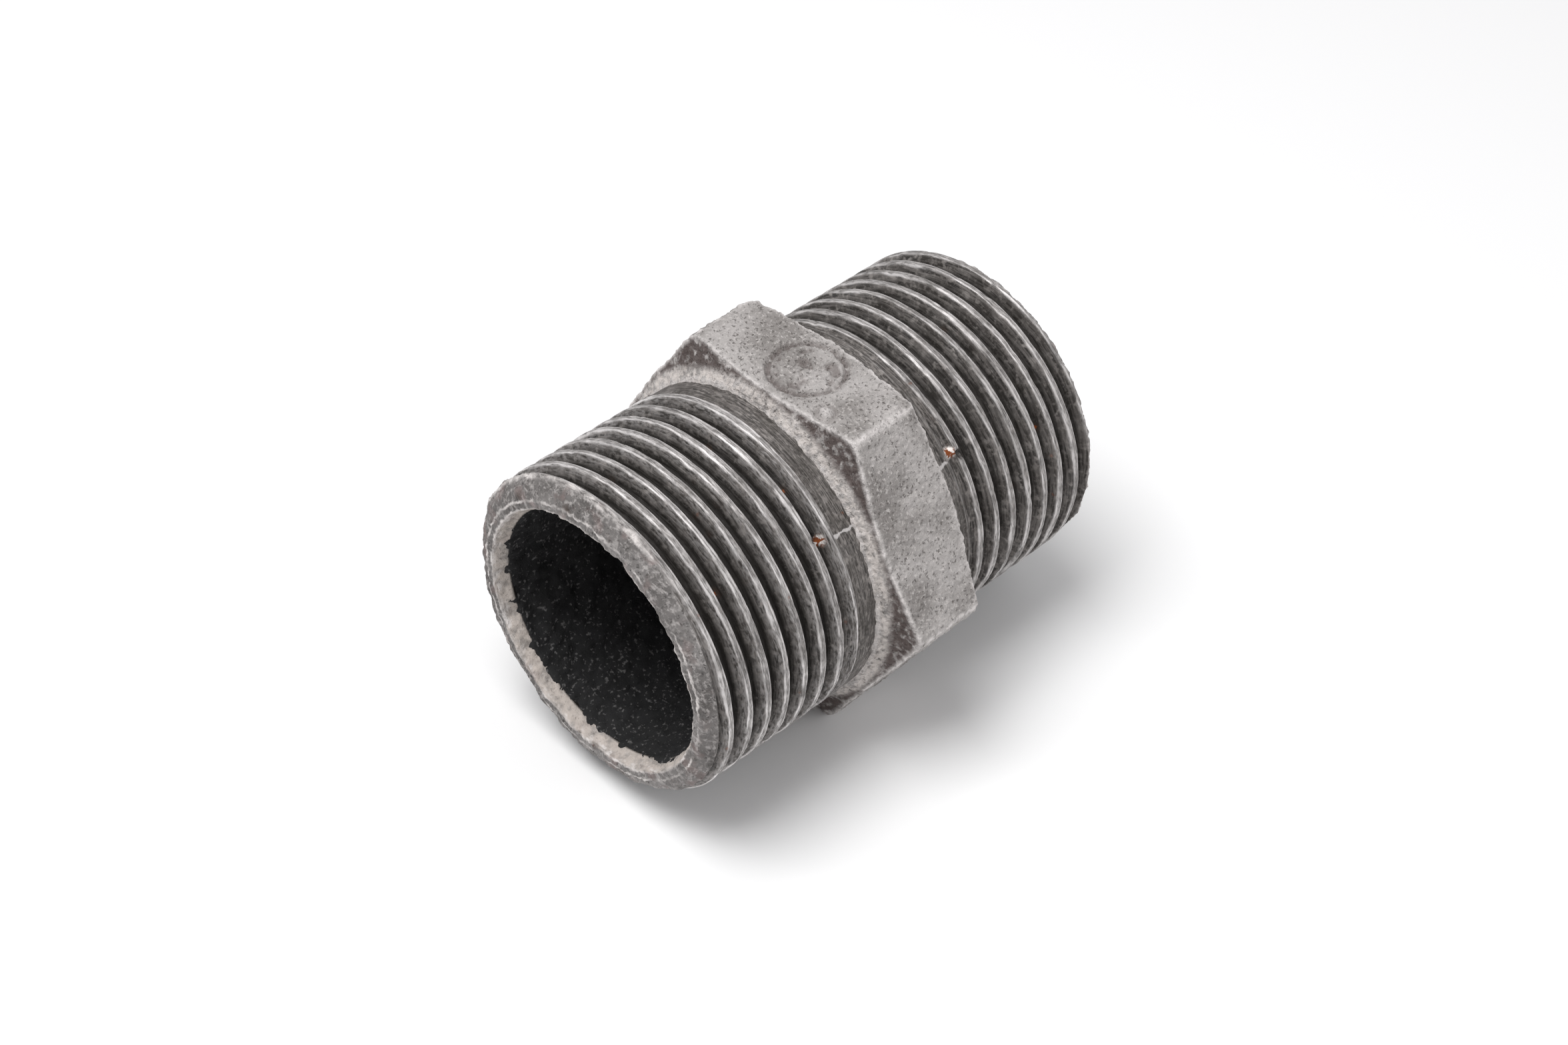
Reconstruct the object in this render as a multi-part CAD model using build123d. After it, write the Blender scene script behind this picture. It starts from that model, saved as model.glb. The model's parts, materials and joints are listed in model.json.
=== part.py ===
from build123d import *
import math
import os

# Hexagon nipple, 1 inch (DN 25), malleable cast iron, made as one casting.
# A hexagon for the spanner in the middle, and a parallel right-hand pipe thread on each end.
# Millimetres. X is the pipe axis, the origin is the middle of the hexagon on that axis,
# and the nipple lies on one flat of its hexagon, so +Z is the outward normal of the flat on top.

# --- whole fitting ---
OVERALL_LENGTH = 52.0
BORE_DIAMETER = 26.0

# --- spanner hexagon, as cast ---
ACROSS_FLATS = 36.0
HEX_WIDTH_AT_CORNERS = 8.0
HEX_WIDTH_AT_FLATS = 9.5
HEX_CORNER_RADIUS = 1.5

# --- neck between the hexagon and each thread ---
NECK_DIAMETER = 32.9
SHOULDER_WIDTH = 11.7          # over both cast shoulders, where each one meets its neck

# --- thread, G 1: 55 degree form, 11 threads to the inch ---
THREAD_MAJOR_DIAMETER = 33.249
THREAD_PITCH = 25.4 / 11
THREAD_DEPTH = 0.6403 * THREAD_PITCH
CREST_SHARE = 1 / 6            # of a pitch, for the flat on the crest and the one in the root
LEFT_THREAD_START = 8.0        # from the middle of the hexagon to the first of the thread
RIGHT_THREAD_START = 6.9
RUNOUT_LENGTH = 1.6            # over which the groove comes up from full depth to the neck
LEFT_CREST_AT = 15.35          # distance at which a crest crosses the top line of the nipple
RIGHT_CREST_AT = 15.15

# --- ends ---
TIP_CHAMFER_LENGTH = 1.5
TIP_CHAMFER_DEPTH = 2.2
MOUTH_BEVEL_LENGTH = 1.6
MOUTH_BEVEL_DEPTH = 0.6

# --- plain ring cast into the top flat, in place of a foundry mark ---
RING_MARK_RADIUS = 3.6
RING_MARK_WIDTH = 0.5
RING_MARK_DEPTH = 0.2
RING_MARK_ALONG = 0.35         # off the middle of the flat, towards +X
RING_MARK_ASIDE = 0.35         # and towards -Y

# --- worked out from the sizes above ---
HALF_LENGTH = OVERALL_LENGTH / 2
BORE_RADIUS = BORE_DIAMETER / 2
FLAT_DISTANCE = ACROSS_FLATS / 2
CORNER_DISTANCE = FLAT_DISTANCE / math.cos(math.pi / 6)
NECK_RADIUS = NECK_DIAMETER / 2
MAJOR_RADIUS = THREAD_MAJOR_DIAMETER / 2
MINOR_RADIUS = MAJOR_RADIUS - THREAD_DEPTH
HALF_SHOULDER = SHOULDER_WIDTH / 2
FLAT_WIDTH = THREAD_PITCH * CREST_SHARE
FLANK_WIDTH = THREAD_PITCH / 2 - FLAT_WIDTH
OVERCUT = 0.5                  # how far a cutting tool reaches past the metal that it cuts

# Solids are drawn in the tool frame, whose Z is the pipe axis and whose X points up.
# TO_FITTING_FRAME lays that axis along the fitting's X.
TO_FITTING_FRAME = Plane(origin=(0, 0, 0), x_dir=(0, 0, 1), z_dir=(1, 0, 0))


def turned(points):
    """A solid turned about the pipe axis, from the (radius, place along the axis) points of its outline."""
    outline = Polyline([(radius, 0, along) for radius, along in points], close=True)
    return revolve(make_face(outline), axis=Axis.Z)


def hex_collar():
    """The hexagon with rounded corners, under the cast shoulders that sweep down to the two necks."""
    hexagon = RegularPolygon(radius=CORNER_DISTANCE, side_count=6, rotation=30)
    prism = extrude(Plane.XY.offset(-HALF_SHOULDER) * hexagon, SHOULDER_WIDTH)
    prism = fillet(prism.edges().filter_by(Axis.Z), HEX_CORNER_RADIUS)
    corner = (CORNER_DISTANCE, 0, HEX_WIDTH_AT_CORNERS / 2)
    flat = (FLAT_DISTANCE, 0, HEX_WIDTH_AT_FLATS / 2)
    neck = (NECK_RADIUS, 0, HALF_SHOULDER)
    right_shoulder = ThreePointArc(corner, flat, neck)
    left_shoulder = mirror(right_shoulder, about=Plane.XY)
    core = Polyline(neck, (0, 0, HALF_SHOULDER), (0, 0, -HALF_SHOULDER), (NECK_RADIUS, 0, -HALF_SHOULDER))
    rim = Line(corner, (CORNER_DISTANCE, 0, -HEX_WIDTH_AT_CORNERS / 2))
    envelope = revolve(make_face([right_shoulder, rim, left_shoulder, core]), axis=Axis.Z)
    return prism & envelope


def neck(thread_start):
    """The turned neck of one end, which tapers inside the thread so that the groove runs out on it."""
    return turned([
        (0, 0),
        (NECK_RADIUS, 0),
        (NECK_RADIUS, thread_start),
        (MINOR_RADIUS, thread_start + RUNOUT_LENGTH),
        (0, thread_start + RUNOUT_LENGTH),
    ])


def helix(radius, along):
    """One right-hand turn that starts on the top line, at this place along the axis."""
    return Helix(pitch=THREAD_PITCH, height=THREAD_PITCH, radius=radius, center=(0, 0, along)).edge()


def thread_profile(along):
    """The (radius, place along the axis) corners of one pitch on the top line: root, flank, crest, flank."""
    crest_start = along + FLAT_WIDTH + FLANK_WIDTH
    return [
        (MINOR_RADIUS, along),
        (MINOR_RADIUS, along + FLAT_WIDTH),
        (MAJOR_RADIUS, crest_start),
        (MAJOR_RADIUS, crest_start + FLAT_WIDTH),
        (MINOR_RADIUS, along + THREAD_PITCH),
    ]


def threaded_rod(thread_start, crest_at):
    """A solid threaded rod that is longer at both ends than the thread it will be cut to.

    Each turn has four helical faces, one for each line of the profile. Each end is closed by the
    ramp between its last helix and the axis, and by the wall that stands on the profile there.
    """
    one_pitch_before = crest_at - FLAT_WIDTH / 2 - FLANK_WIDTH - FLAT_WIDTH
    turns_back = math.ceil((one_pitch_before - thread_start) / THREAD_PITCH) + 1
    start = one_pitch_before - turns_back * THREAD_PITCH
    turns = math.ceil((HALF_LENGTH - start) / THREAD_PITCH) + 1
    faces = []
    for turn in range(turns):
        profile = thread_profile(start + turn * THREAD_PITCH)
        for (radius, along), (next_radius, next_along) in zip(profile, profile[1:]):
            sides = helix(radius, along), helix(next_radius, next_along)
            faces.append(Face.make_surface_from_curves(*sides))
    for end in (start, start + turns * THREAD_PITCH):
        axis_piece = Line((0, 0, end), (0, 0, end + THREAD_PITCH)).edge()
        faces.append(Face.make_surface_from_curves(helix(MINOR_RADIUS, end), axis_piece))
        wall = [(radius, 0, along) for radius, along in thread_profile(end)]
        wall = [(0, 0, end)] + wall + [(0, 0, end + THREAD_PITCH)]
        faces.append(make_face(Polyline(wall, close=True)).face())
    return Solid(Shell(faces))


def end_envelope(thread_start):
    """The turned blank of one threaded end, with its chamfered tip."""
    steepness = TIP_CHAMFER_LENGTH / TIP_CHAMFER_DEPTH
    return turned([
        (0, thread_start),
        (MAJOR_RADIUS + OVERCUT, thread_start),
        (MAJOR_RADIUS + OVERCUT, HALF_LENGTH - TIP_CHAMFER_LENGTH - OVERCUT * steepness),
        (MAJOR_RADIUS - TIP_CHAMFER_DEPTH, HALF_LENGTH),
        (0, HALF_LENGTH),
    ])


def threaded_end(thread_start, crest_at):
    """One end of the nipple, from the middle of the hexagon out to its tip."""
    return (threaded_rod(thread_start, crest_at) & end_envelope(thread_start)) + neck(thread_start)


def bore():
    """The waterway: a straight cored hole, with a bevel at each mouth."""
    return turned([
        (0, -HALF_LENGTH),
        (BORE_RADIUS + MOUTH_BEVEL_DEPTH, -HALF_LENGTH),
        (BORE_RADIUS, MOUTH_BEVEL_LENGTH - HALF_LENGTH),
        (BORE_RADIUS, HALF_LENGTH - MOUTH_BEVEL_LENGTH),
        (BORE_RADIUS + MOUTH_BEVEL_DEPTH, HALF_LENGTH),
        (0, HALF_LENGTH),
    ])


def ring_mark():
    """The groove of the plain ring in the top flat."""
    floor = Plane(origin=(FLAT_DISTANCE - RING_MARK_DEPTH, 0, 0), x_dir=(0, 1, 0), z_dir=(1, 0, 0))
    outer = Circle(RING_MARK_RADIUS + RING_MARK_WIDTH / 2)
    inner = Circle(RING_MARK_RADIUS - RING_MARK_WIDTH / 2)
    ring = Pos(RING_MARK_ASIDE, RING_MARK_ALONG) * (outer - inner)
    return extrude(floor * ring, RING_MARK_DEPTH + OVERCUT)


def hex_nipple():
    """The whole casting, machined, in the fitting's own frame."""
    right_end = threaded_end(RIGHT_THREAD_START, RIGHT_CREST_AT)
    left_end = Rot(X=180) * threaded_end(LEFT_THREAD_START, LEFT_CREST_AT)
    casting = hex_collar() + right_end + left_end
    casting = casting - bore() - ring_mark()
    return TO_FITTING_FRAME * casting


os.makedirs("parts", exist_ok=True)
nipple = hex_nipple()
export_step(nipple, "parts/hex_nipple.step")
print("hex_nipple:", len(nipple.solids()), "solid,", round(nipple.volume, 1), "mm3")
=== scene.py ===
# %% [markdown]
# # A hexagon pipe nipple in black iron
# The real object is one iron casting: a hexagon for the spanner, and a pipe thread cut on each end.
# It has no loose parts, so everything here rides on one body. The mesh is made in four regions of
# that one casting, so that each can have a grid as fine as its detail needs: the hexagon with its
# shoulders, the two threaded ends, and the wall of the bore. Each region is a closed mesh whose rim
# dives under its neighbour, and they meet along lines where the real surface changes anyway.

# %% Load the frame
import json
import math
import bpy
import numpy as np
from mathutils import Matrix, Vector


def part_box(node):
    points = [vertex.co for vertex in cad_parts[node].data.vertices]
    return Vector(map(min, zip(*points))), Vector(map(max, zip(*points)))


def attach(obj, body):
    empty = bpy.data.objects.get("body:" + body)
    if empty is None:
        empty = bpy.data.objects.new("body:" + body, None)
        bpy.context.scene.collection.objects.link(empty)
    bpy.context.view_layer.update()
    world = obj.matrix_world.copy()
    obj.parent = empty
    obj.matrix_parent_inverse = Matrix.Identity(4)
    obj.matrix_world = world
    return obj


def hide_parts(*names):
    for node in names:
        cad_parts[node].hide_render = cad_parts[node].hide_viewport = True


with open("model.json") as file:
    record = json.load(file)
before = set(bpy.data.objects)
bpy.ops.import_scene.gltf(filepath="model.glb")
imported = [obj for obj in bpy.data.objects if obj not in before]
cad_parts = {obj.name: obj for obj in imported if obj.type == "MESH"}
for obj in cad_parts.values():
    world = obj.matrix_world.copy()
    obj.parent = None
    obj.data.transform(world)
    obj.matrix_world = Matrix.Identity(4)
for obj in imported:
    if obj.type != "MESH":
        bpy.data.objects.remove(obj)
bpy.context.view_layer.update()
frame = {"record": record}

# %% [markdown]
# ## Sizes
# Some sizes come from the imported model, some are facts of the pipe thread, and the rest are
# given here. Lengths are in millimetres, as on a drawing, and become metres only when a mesh or a
# node tree needs them.

# %% Sizes of the fitting
MM = 0.001
MOUNTS = {mount["name"]: mount for mount in frame["record"]["mounts"]}
LOW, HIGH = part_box("hex_nipple")
HALF_LENGTH = HIGH[0] / MM
FLAT_DISTANCE = HIGH[2] / MM
BORE_RADIUS = MOUNTS["waterway"]["dims"]["r_mm"]
CREST_RADIUS = MOUNTS["left_thread"]["dims"]["r_mm"]
LEFT_THREAD_START = HALF_LENGTH - MOUNTS["left_thread"]["dims"]["length_mm"]
RIGHT_THREAD_START = HALF_LENGTH - MOUNTS["right_thread"]["dims"]["length_mm"]
PITCH = 25.4 / 11
THREAD_DEPTH = 0.6403 * PITCH
NECK_RADIUS = 16.45
SHOULDER_END = 5.85
CHAMFER_LENGTH = 1.5
CHAMFER_DEPTH = 2.2
BEVEL_LENGTH = 1.6
BEVEL_DEPTH = 0.6
PARTING_LINE = 50.0
RIM_DIVE = 0.9
print("half length", HALF_LENGTH, "flats", FLAT_DISTANCE, "bore", BORE_RADIUS, "crest", CREST_RADIUS)

# %% [markdown]
# ## Writing node trees as sums
# Shader trees and Geometry Nodes share their math nodes, so one small set of helpers can write
# both. `plug` puts a number or a link into a socket, `add_node` adds any node with its inputs
# (an underscore stands for a space in their names), and `maths` adds one math node.

# %% Helpers for node trees
def plug(tree, value, socket):
    """Links an output to this input, or sets the input's own value."""
    if isinstance(value, bpy.types.NodeSocket):
        tree.links.new(value, socket)
    else:
        socket.default_value = value


def add_node(tree, kind, settings=(), **inputs):
    """Adds a node with these settings and named inputs, and returns its outputs."""
    node = tree.nodes.new(kind)
    for setting, value in dict(settings).items():
        setattr(node, setting, value)
    for label, value in inputs.items():
        plug(tree, value, node.inputs[label.replace("_", " ")])
    return node.outputs


def maths(tree, operation, *values, clamp=False):
    """One math node; a value is a number or another node's output."""
    node = tree.nodes.new("ShaderNodeMath")
    node.operation = operation
    node.use_clamp = clamp
    for value, socket in zip(values, node.inputs):
        plug(tree, value, socket)
    return node.outputs[0]


def product(tree, first, second):
    """One number times another."""
    return maths(tree, "MULTIPLY", first, second)


def minus(tree, first, second):
    """One number minus another."""
    return maths(tree, "SUBTRACT", first, second)


def scale_and_add(tree, value, factor, more):
    """A number times a factor, plus another number."""
    return maths(tree, "MULTIPLY_ADD", value, factor, more)


def absolute(tree, value):
    """A number without its sign."""
    return maths(tree, "ABSOLUTE", value)


def times(tree, vector, factor):
    """A vector made longer or shorter by a number."""
    return add_node(tree, "ShaderNodeVectorMath", {"operation": "SCALE"}, Vector=vector, Scale=factor)[0]


def ramp(tree, value, low, high, smooth=True):
    """0 where the value is below low, 1 above high, and a slope between."""
    shape = {"interpolation_type": "SMOOTHSTEP" if smooth else "LINEAR"}
    return add_node(tree, "ShaderNodeMapRange", shape, Value=value, From_Min=low, From_Max=high)["Result"]


def noise(tree, where, size, detail=3.0, roughness=0.5, seed=0.0):
    """Cloudy noise from 0 to 1 whose lumps are about size across, in the units of where."""
    scale = maths(tree, "DIVIDE", 1.0, size)
    return add_node(tree, "ShaderNodeTexNoise", {"noise_dimensions": "4D"}, Vector=where, W=seed,
                    Scale=scale, Detail=detail, Roughness=roughness)[0]


def patches(tree, where, size, seed, low, high, detail=4.0, roughness=0.5):
    """Soft-edged patches from 0 to 1: noise, cut off below low and above high."""
    return ramp(tree, noise(tree, where, size, detail, roughness, seed), low, high)


def grains(tree, where, size):
    """Distance to the nearest of many grains scattered about size apart, and that grain's colour."""
    cells = add_node(tree, "ShaderNodeTexVoronoi", Vector=where, Scale=maths(tree, "DIVIDE", 1.0, size))
    return cells["Distance"], cells["Color"]


def apart(tree, vector):
    """The three parts of a vector."""
    return add_node(tree, "ShaderNodeSeparateXYZ", Vector=vector)


def together(tree, x, y, z):
    """A vector from its three parts."""
    return add_node(tree, "ShaderNodeCombineXYZ", X=x, Y=y, Z=z)[0]


def round_the_pipe(tree, place):
    """Place along the pipe, radius from its axis, and angle from the top line in turns."""
    x, y, z = apart(tree, place)
    squares = maths(tree, "ADD", product(tree, y, y), product(tree, z, z))
    radius = maths(tree, "SQRT", squares)
    angle = maths(tree, "ARCTAN2", product(tree, y, -1.0), z)
    return x, radius, maths(tree, "DIVIDE", angle, math.tau)


def spot(tree, place, centre, size):
    """1 in the middle of a ragged spot of about this size, and 0 outside it."""
    node = tree.nodes.new("ShaderNodeVectorMath")
    node.operation = "DISTANCE"
    plug(tree, place, node.inputs[0])
    plug(tree, centre, node.inputs[1])
    torn = minus(tree, noise(tree, place, 0.4, detail=3.0), 0.5)
    ragged = scale_and_add(tree, torn, 0.8, node.outputs["Value"])
    return ramp(tree, ragged, size, product(tree, size, 0.45))


def new_tree(name, kind, inputs, outputs):
    """A node group with named sockets; a row is a name, a type and, for most inputs, a value."""
    tree = bpy.data.node_groups.new(name, kind)
    for direction, rows in (("INPUT", inputs), ("OUTPUT", outputs)):
        for label, socket_type, *value in rows:
            socket = tree.interface.new_socket(
                label, in_out=direction, socket_type="NodeSocket" + socket_type)
            if value:
                socket.default_value = value[0]
    entry = tree.nodes.new("NodeGroupInput")
    leave = tree.nodes.new("NodeGroupOutput")
    return tree, entry.outputs, leave.inputs


# %% [markdown]
# ## Where a point lies on the thread
# A single-start thread is one ridge wound round the pipe. If you walk along the pipe you cross
# it once in each pitch, and a turn further round the crossing has moved by one pitch. So the
# distance from the crest is a saw wave of `x - pitch * turn`, and both the shape of the thread
# and its dirt and wear can be worked out from that one number, for any point.

# %% The thread's own coordinate
def offset_from_crest(tree, x, turn, crest_at):
    """Signed distance along the pipe from the middle of the nearest crest, in millimetres."""
    unwound = minus(tree, x, product(tree, turn, PITCH))
    return maths(tree, "WRAP", minus(tree, unwound, crest_at), PITCH / 2, -PITCH / 2)


def along_thread(tree, x, turn, stretch):
    """Coordinates that draw noise out along the thread, this many times longer than wide."""
    around = product(tree, turn, math.tau)
    reach = CREST_RADIUS / stretch
    unwound = minus(tree, x, product(tree, turn, PITCH))
    return together(tree, unwound, *[
        product(tree, maths(tree, wave, around), reach) for wave in ("SINE", "COSINE")])


# %% [markdown]
# ## Cutting the thread, with Geometry Nodes
# A thread follows a rule, so it is not drawn: a plain turned blank goes into this tree, and each
# point of its skin moves in towards the axis by as much as the cutting die would take off there.
# The die fades out next to the hexagon, and the crests are worn and nicked where noise says so.
# A chip is the one thing that stands up. The tree also leaves the mask `tip` on the mesh, for the
# materials: the rough faces at the end of the pipe, which the die has not cut.

# %% How deep the skin is cut
CREST_FLAT = 0.5
FLANK_WIDTH = (PITCH - CREST_FLAT - PITCH / 6) / 2
CHAMFER_START = HALF_LENGTH - CHAMFER_LENGTH
PIT_SIZE, PIT_DEPTH = 0.6, 0.9
CHIP_SIZE, CHIP_HEIGHT = 0.7, 0.4


def die_cut(tree, given, x, distance, waver):
    """How far the die cuts in from the crest, in millimetres."""
    crest_half = scale_and_add(tree, waver, 0.3, CREST_FLAT / 2 - 0.15)
    flank = maths(tree, "DIVIDE", minus(tree, distance, crest_half), FLANK_WIDTH, clamp=True)
    rounded = minus(tree, ramp(tree, flank, 0.0, 1.0), flank)
    slope = scale_and_add(tree, rounded, 0.6, flank)
    past_start = minus(tree, product(tree, x, given["Side"]), given["Thread start"])
    full = maths(tree, "DIVIDE", past_start, given["Run-out"], clamp=True)
    before_lip = ramp(tree, absolute(tree, x), CHAMFER_START + 0.9, CHAMFER_START + 0.1)
    depth = product(tree, slope, THREAD_DEPTH)
    return product(tree, depth, product(tree, full, before_lip)), flank


def groove_depth(tree, given, place, x, turn):
    """How far the skin lies below the crest's full radius, with its wear, its pit and its chip."""
    distance = absolute(tree, offset_from_crest(tree, x, turn, given["Crest at"]))
    waver = noise(tree, along_thread(tree, x, turn, 5.0), 0.9, detail=3.0, seed=given["Seed"])
    groove, flank = die_cut(tree, given, x, distance, waver)
    broad = noise(tree, place, 5.0, detail=1.0, seed=given["Seed"])
    nicks = noise(tree, along_thread(tree, x, turn, 3.0), 0.7, detail=3.0, seed=given["Seed"])
    wear = maths(tree, "ADD", ramp(tree, nicks, 0.54, 0.72), broad)
    wear = product(tree, wear, given["Crest wear"])
    groove = scale_and_add(tree, wear, minus(tree, 1.0, flank), groove)
    groove = scale_and_add(tree, spot(tree, place, given["Pit"], PIT_SIZE), PIT_DEPTH, groove)
    return scale_and_add(tree, spot(tree, place, given["Chip"], CHIP_SIZE), -CHIP_HEIGHT, groove)


# %% The tree that cuts a thread
def thread_cutter():
    """The Geometry Nodes tree that turns a plain blank into a threaded end."""
    tree, given, result = new_tree("Cut pipe thread", "GeometryNodeTree", [
        ("Geometry", "Geometry"),
        ("Side", "Float", 1.0),
        ("Crest at", "Float"),
        ("Thread start", "Float", 8.0),
        ("Run-out", "Float", 1.6),
        ("Crest wear", "Float", 0.1),
        ("Pit", "Vector"),
        ("Chip", "Vector"),
        ("Seed", "Float"),
        ("Material", "Material"),
    ], [("Geometry", "Geometry")])
    position = add_node(tree, "GeometryNodeInputPosition")[0]
    place = times(tree, position, 1 / MM)
    x, radius, turn = round_the_pipe(tree, place)
    thread_radius = minus(tree, CREST_RADIUS, groove_depth(tree, given, place, x, turn))
    shrink = maths(tree, "DIVIDE", maths(tree, "MINIMUM", radius, thread_radius), radius)
    _, y, z = apart(tree, position)
    moved = together(tree, product(tree, x, MM), product(tree, y, shrink), product(tree, z, shrink))

    uncut = ramp(tree, minus(tree, radius, thread_radius), 0.05, -0.05)
    beyond = ramp(tree, absolute(tree, x), CHAMFER_START - 0.1, CHAMFER_START + 0.1)
    per_point = {"data_type": "FLOAT", "domain": "POINT"}
    marked = add_node(tree, "GeometryNodeStoreNamedAttribute", per_point, Geometry=given["Geometry"],
                      Name="tip", Value=product(tree, beyond, uncut))
    cut = add_node(tree, "GeometryNodeSetPosition", Geometry=marked["Geometry"], Position=moved)
    finish_tree(tree, cut["Geometry"], given["Material"], result["Geometry"])
    return tree


def finish_tree(tree, geometry, material, output):
    """The two nodes that end each tree: real geometry, with its material on it."""
    real = add_node(tree, "GeometryNodeRealizeInstances", Geometry=geometry)
    painted = add_node(tree, "GeometryNodeSetMaterial", Geometry=real["Geometry"], Material=material)
    plug(tree, painted["Geometry"], output)


# %% [markdown]
# ## Roughening a cast surface
# Iron poured into sand takes the print of the grains: a skin of small bumps and pits on broader,
# softer lumps. The bumps are big enough to break the outline of the fitting, so they are real
# relief and not only shading. A mask attribute says where the skin is cast; the machined parts
# keep only a trace of it.

# %% The tree that roughens a skin
def skin_roughener():
    """The Geometry Nodes tree that gives a mesh its sand-cast relief."""
    tree, given, result = new_tree("Roughen cast skin", "GeometryNodeTree", [
        ("Geometry", "Geometry"),
        ("Mask name", "String", "cast"),
        ("Grain size", "Float", 0.5),
        ("Grain height", "Float", 0.05),
        ("Lump size", "Float", 2.5),
        ("Lump height", "Float", 0.08),
        ("Seed", "Float"),
        ("Material", "Material"),
    ], [("Geometry", "Geometry")])
    position = add_node(tree, "GeometryNodeInputPosition")[0]
    place = times(tree, position, 1 / MM)
    mask = add_node(
        tree, "GeometryNodeInputNamedAttribute", {"data_type": "FLOAT"}, Name=given["Mask name"])
    fine = noise(tree, place, given["Grain size"], detail=2.0, roughness=0.6, seed=given["Seed"])
    lump = noise(tree, place, given["Lump size"], detail=2.0, seed=given["Seed"])
    fine_lift = product(tree, minus(tree, fine, 0.5), given["Grain height"])
    lump_lift = product(tree, minus(tree, lump, 0.5), given["Lump height"])
    lift = product(tree, maths(tree, "ADD", fine_lift, lump_lift), 2.0 * MM)
    lift = product(tree, lift, mask["Attribute"])
    normal = add_node(tree, "GeometryNodeInputNormal")[0]
    rough = add_node(tree, "GeometryNodeSetPosition", Geometry=given["Geometry"],
                     Offset=times(tree, normal, lift))
    finish_tree(tree, rough["Geometry"], given["Material"], result["Geometry"])
    return tree


# %% Run a tree on a piece and keep the result as a plain mesh
def apply_tree(piece, tree, **values):
    """Gives the piece this tree, sets its named inputs, and bakes the result into its mesh."""
    modifier = piece.modifiers.new(tree.name, "NODES")
    modifier.node_group = tree
    identifiers = {item.name: item.identifier for item in tree.interface.items_tree}
    for label, value in values.items():
        modifier[identifiers[label.replace("_", " ")]] = value
    depsgraph = bpy.context.evaluated_depsgraph_get()
    made = bpy.data.meshes.new_from_object(piece.evaluated_get(depsgraph))
    piece.modifiers.remove(modifier)
    old = piece.data
    piece.data = made
    bpy.data.meshes.remove(old)


# %% [markdown]
# ## Turned blanks
# A lathe makes a shape from its outline, and so does this: the outline is walked once round the
# closed half-section, points are laid along it at a spacing that suits each stretch, and rings
# of points round the axis join into a closed skin of quads. The spacing is fine on the thread
# and coarse inside the metal, where nothing shows.

# %% Helpers that make ring meshes
def spaced(outline):
    """Points along a closed outline of (x, radius, spacing) corners, at each stretch's spacing."""
    points = []
    for (x0, r0, spacing), (x1, r1, _) in zip(outline, outline[1:] + outline[:1]):
        count = max(1, round(math.hypot(x1 - x0, r1 - r0) / spacing))
        points += [(x0 + (x1 - x0) * i / count, r0 + (r1 - r0) * i / count) for i in range(count)]
    return np.array(points)


def ring_mesh(name, x, y, z, attributes):
    """A closed skin over rows of rings: x, y and z are arrays of row by angle, in millimetres."""
    rows, columns = x.shape
    points = np.stack([x, y, z], axis=-1).reshape(-1, 3) * MM
    row, column = np.meshgrid(np.arange(rows), np.arange(columns), indexing="ij")
    next_row, next_column = (row + 1) % rows, (column + 1) % columns
    corners = [row * columns + column, next_row * columns + column,
               next_row * columns + next_column, row * columns + next_column]
    faces = np.stack(corners, axis=-1).reshape(-1, 4)
    mesh = bpy.data.meshes.new(name)
    mesh.from_pydata(points.tolist(), [], faces.tolist())
    mesh.update()
    for label, values in attributes.items():
        layer = mesh.attributes.new(label, "FLOAT", "POINT")
        layer.data.foreach_set("value", np.broadcast_to(values, x.shape).ravel().astype(np.float32))
    return mesh


def is_inside_out(mesh):
    """True if the closed mesh's faces point inwards, from the sign of its volume."""
    mesh.calc_loop_triangles()
    points = np.array([v.co[:] for v in mesh.vertices])
    corners = np.array([t.vertices[:] for t in mesh.loop_triangles])
    a, b, c = (points[corners[:, i]] for i in range(3))
    return np.einsum("ij,ij->i", a, np.cross(b, c)).sum() < 0


def as_piece(name, mesh):
    """A scene object for this mesh, smooth shaded, with its faces pointing out."""
    if is_inside_out(mesh):
        mesh.flip_normals()
    mesh.shade_smooth()
    piece = bpy.data.objects.new(name, mesh)
    bpy.context.scene.collection.objects.link(piece)
    return piece


def turned_piece(name, outline, columns, masks):
    """A piece turned from an outline; masks are functions of (x, radius) stored on its points."""
    profile = spaced(outline)
    angle = np.arange(columns) * math.tau / columns
    x = np.repeat(profile[:, :1], columns, axis=1)
    radius = np.repeat(profile[:, 1:], columns, axis=1)
    attributes = {label: mask(x, radius) for label, mask in masks.items()}
    mesh = ring_mesh(name, x, -radius * np.sin(angle), radius * np.cos(angle), attributes)
    return as_piece(name, mesh)


# %% [markdown]
# ## Finishes
# The iron has no paint or plating, so most of its colours come from how each face was made, and
# some light and shade is painted into them as well. The cast skin is pale and speckled where sand
# was blasted off it, with painted highlight on its edges and painted shade in its hollows; the
# thread is dark, greasy metal with its crests rubbed bright and painted with highlight, and its
# roots painted with shade; the bore keeps its near-black scale, painted darker still as shade. The
# small groups below put out masks and values only, and each material decides what to do with them.

# %% Shader helpers
def mix_colour(tree, factor, first, second):
    """A blend of two colours."""
    colours = {"data_type": "RGBA"}
    return add_node(tree, "ShaderNodeMix", colours, Factor=factor, A=first, B=second)["Result"]


def grey(value, warmth=0.0):
    """An iron grey as a colour, a little towards plum; warmth leans it to brown."""
    return (value * (1.02 + warmth), value * 0.98, value * (0.97 - warmth), 1.0)


def use(tree, group, **values):
    """Places a node group and sets its named inputs."""
    return add_node(tree, "ShaderNodeGroup", {"node_tree": group}, **values)


def mask_named(tree, label):
    """A mask that was left on the mesh."""
    return add_node(tree, "ShaderNodeAttribute", {"attribute_name": label})["Fac"]


def place_in_mm(tree):
    """Object coordinates in millimetres."""
    return times(tree, add_node(tree, "ShaderNodeTexCoord")["Object"], 1 / MM)


def new_material(name):
    """An empty material and its Principled BSDF."""
    material = bpy.data.materials.new(name)
    material.use_nodes = True
    return material, material.node_tree, material.node_tree.nodes["Principled BSDF"]


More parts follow.
